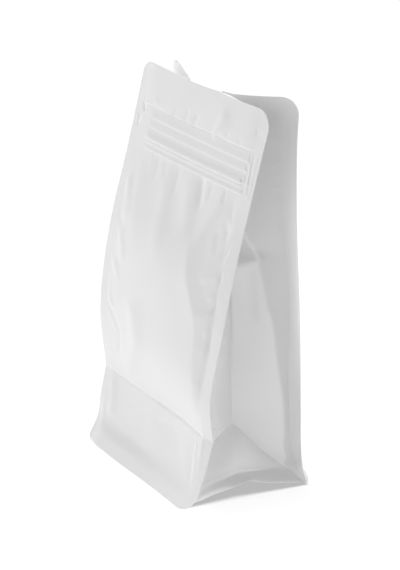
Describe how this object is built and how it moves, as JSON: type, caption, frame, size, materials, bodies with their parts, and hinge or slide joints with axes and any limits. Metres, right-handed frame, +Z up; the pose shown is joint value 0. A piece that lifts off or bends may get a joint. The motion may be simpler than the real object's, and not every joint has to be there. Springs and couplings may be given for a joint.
{
  "type": "flat-bottom pouch",
  "caption": "Empty flat-bottom stand-up pouch of plain white matte film with welded fins, folded side gussets, a creased base and a ribbed zip across the front.",
  "frame": {"origin": "on the floor under the middle of the pouch's bounding box", "axes": "+Z up from the floor to the mouth, the zip side faces -Y, +X to the right when the zip side is seen from the front"},
  "size_m": [0.135, 0.092, 0.2629],
  "materials": {
    "white_film": "matte white laminated film, with a soft sheen on its welds",
    "zip_plastic": "satin white plastic under film"
  },
  "bodies": {
    "root": {"pouch": "white_film", "zip_strip": "zip_plastic"}
  },
  "joints": []
}
